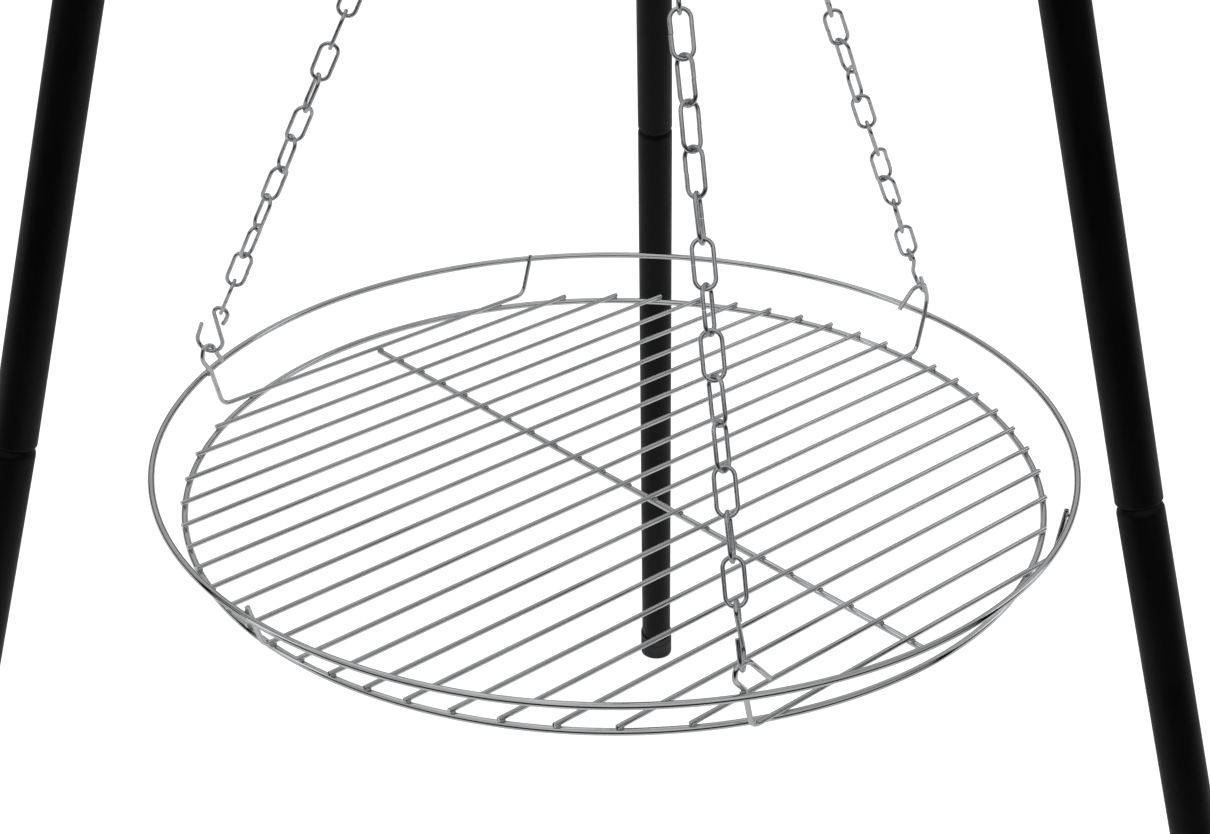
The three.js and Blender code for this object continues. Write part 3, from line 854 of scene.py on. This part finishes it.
def small_ring(name, node, wire_r, axis, body):
    low, high = (local(corner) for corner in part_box(node))
    centre = (low + high) / 2
    radius = (high.z - low.z) / 2 - wire_r
    opening = 0.012
    steps = 64
    angles = [math.pi / 2 + opening + (2 * math.pi - 2 * opening) * i / steps for i in range(steps + 1)]
    points = [Vector((radius * math.cos(a), 0, radius * math.sin(a))) for a in angles]
    turn = Matrix.Rotation(math.pi / 2, 4, "Z") if axis == "x" else Matrix.Identity(4)
    build = sweep(Build(), points, wire_r, 20, matrix=Matrix.Translation(centre) @ turn, chamfer=0.15)
    piece(name, build, ZINC, body, [node])
    return centre, radius


def add_hanger():
    apex_centre, apex_r = small_ring("grate.apex_ring", "apex_ring", APEX_WIRE_R, "y", "grate")
    ring_centre, ring_r = small_ring("ring.hanger_ring", "hanger_ring", HANGER_WIRE_R, "x", "ring")
    start = apex_centre + UP * (apex_r - APEX_WIRE_R - LINK_WIRE_R)
    end = ring_centre - UP * (ring_r - HANGER_WIRE_R - LINK_WIRE_R)
    chain = Build()
    add_chain(chain, start, end, LINK_HALF_WIDTH, lambda i: 90 * i + 90 + 6 * math.sin(i * 1.4))
    piece("grate.hanger_chain", chain, ZINC, "grate", ["hanger_chain"])


def add_grate():
    ring_piece("grate.upper_ring", RING_R, 0, "grate", "upper_ring")
    ring_piece("grate.lower_ring", LOWER_RING_R, RING_DROP, "grate", "lower_ring")
    straight_bar("cross_bar", CROSS_BAR_R)
    hooked = {bar["index"] for bar in HOOK_BARS.values()}
    for index in range(BAR_COUNT):
        if index not in hooked:
            straight_bar(f"bar_{index + 1:02d}")
    for name, bar in HOOK_BARS.items():
        hook_bar(name, **bar)
        add_suspension(name, **bar)
    add_welds()


# ---------- stage ----------
def add_floor():
    mesh = bpy.data.meshes.new("floor")
    half = FLOOR_HALF_WIDTH
    mesh.from_pydata([(-half, -half, 0), (half, -half, 0), (half, half, 0), (-half, half, 0)], [],
                     [(0, 1, 2, 3)])
    s = Shader("pale_floor", (0.86, 0.86, 0.86), 0.0, 0.9)
    s.set("Emission Color", (1, 1, 1, 1))
    s.set("Specular IOR Level", 0.0)
    # The camera sees the floor white all over. The wires see it end a little way in front.
    seen = s.tree.nodes.new("ShaderNodeLightPath").outputs["Is Camera Ray"]
    split = s.tree.nodes.new("ShaderNodeSeparateXYZ")
    s.link(s.place, split.inputs["Vector"])
    lit = s.tree.nodes.new("ShaderNodeMath")
    lit.operation = "MAXIMUM"
    s.link(seen, lit.inputs[0])
    s.link(s.spread(split.outputs["Y"], 0, 1, -1.3, -0.7), lit.inputs[1])
    shade = s.between(lit.outputs["Value"], (0.03, 0.03, 0.03), (0.86, 0.86, 0.86))
    s.link(shade, s.bsdf.inputs["Base Color"])
    glow = s.tree.nodes.new("ShaderNodeMath")
    glow.operation = "MULTIPLY"
    s.link(lit.outputs["Value"], glow.inputs[0])
    s.link(s.spread(seen, 0.22, 0.76, 0, 1), glow.inputs[1])
    s.link(glow.outputs["Value"], s.bsdf.inputs["Emission Strength"])
    mesh.materials.append(s.material)
    floor = bpy.data.objects.new("floor", mesh)
    bpy.context.scene.collection.objects.link(floor)
    floor.location.z = -0.0005


def add_world():
    """Soft grey studio: light overhead, lighter still behind the camera, dark along the horizon."""
    world = bpy.data.worlds.new("studio")
    world.use_nodes = True
    bpy.context.scene.world = world
    nodes, links = world.node_tree.nodes, world.node_tree.links
    place = nodes.new("ShaderNodeTexCoord")
    split = nodes.new("ShaderNodeSeparateXYZ")
    links.new(place.outputs["Generated"], split.inputs["Vector"])

    def ramp(value, stops):
        node = nodes.new("ShaderNodeValToRGB")
        links.new(value, node.inputs["Fac"])
        elements = node.color_ramp.elements
        while len(elements) < len(stops):
            elements.new(0.5)
        for element, (position, grey) in zip(elements, stops):
            element.position, element.color = position, (grey, grey, grey, 1)
        return node.outputs["Color"]

    height = ramp(split.outputs["Z"], [(0.0, 0.02), (0.17, 0.03), (0.34, 0.42), (0.6, 0.5), (1.0, 0.6)])
    depth = nodes.new("ShaderNodeMapRange")
    links.new(split.outputs["Y"], depth.inputs["Value"])
    depth.inputs["From Min"].default_value = -1
    side = ramp(depth.outputs["Result"], [(0.0, 1.0), (0.25, 0.75), (0.5, 0.42), (0.75, 0.62), (1.0, 0.75)])
    shade = nodes.new("ShaderNodeMix")
    shade.data_type, shade.blend_type = "RGBA", "MULTIPLY"
    shade.inputs["Factor"].default_value = 1
    links.new(height, shade.inputs[6])
    links.new(side, shade.inputs[7])
    bright = nodes.new("ShaderNodeVectorMath")
    bright.operation = "SCALE"
    bright.inputs["Scale"].default_value = WORLD_STRENGTH
    links.new(shade.outputs[2], bright.inputs[0])
    seen = nodes.new("ShaderNodeMix")
    seen.data_type = "RGBA"
    seen.inputs[7].default_value = (0.97, 0.97, 0.97, 1)
    path = nodes.new("ShaderNodeLightPath")
    links.new(path.outputs["Is Camera Ray"], seen.inputs["Factor"])
    links.new(bright.outputs["Vector"], seen.inputs[6])
    links.new(seen.outputs[2], nodes["Background"].inputs["Color"])


def add_softbox(name, place, size, watts):
    light = bpy.data.lights.new(name, "AREA")
    light.shape, light.size, light.size_y = "RECTANGLE", *size
    light.energy = watts
    lamp = bpy.data.objects.new(name, light)
    bpy.context.scene.collection.objects.link(lamp)
    lamp.location = ORIGIN + Vector(place)
    lamp.rotation_euler = (-Vector(place)).to_track_quat("-Z", "Y").to_euler()


def add_camera():
    camera = bpy.data.cameras.new("camera")
    camera.sensor_width = 36
    camera.lens = CAMERA_LENS
    camera.clip_start = 0.05
    viewer = bpy.data.objects.new("camera", camera)
    bpy.context.scene.collection.objects.link(viewer)
    viewer.location = ORIGIN + Vector(CAMERA_PLACE)
    viewer.rotation_euler = (math.pi / 2 - CAMERA_TILT, 0, 0)
    bpy.context.scene.camera = viewer


add_camera()
for leg in LEG_NAMES:
    add_leg(leg)
add_head()
add_head_hook()
add_hanger()
add_grate()
add_floor()
add_world()
add_softbox("overhead", (-0.6, 0.5, 2.6), (2.4, 2.0), 5)
add_softbox("left_strip", (-2.4, -0.4, 0.8), (0.4, 2.0), 2.5)
add_softbox("right_strip", (2.4, 0.6, 0.9), (0.4, 2.0), 2.5)
bpy.context.scene.view_settings.view_transform = "Standard"
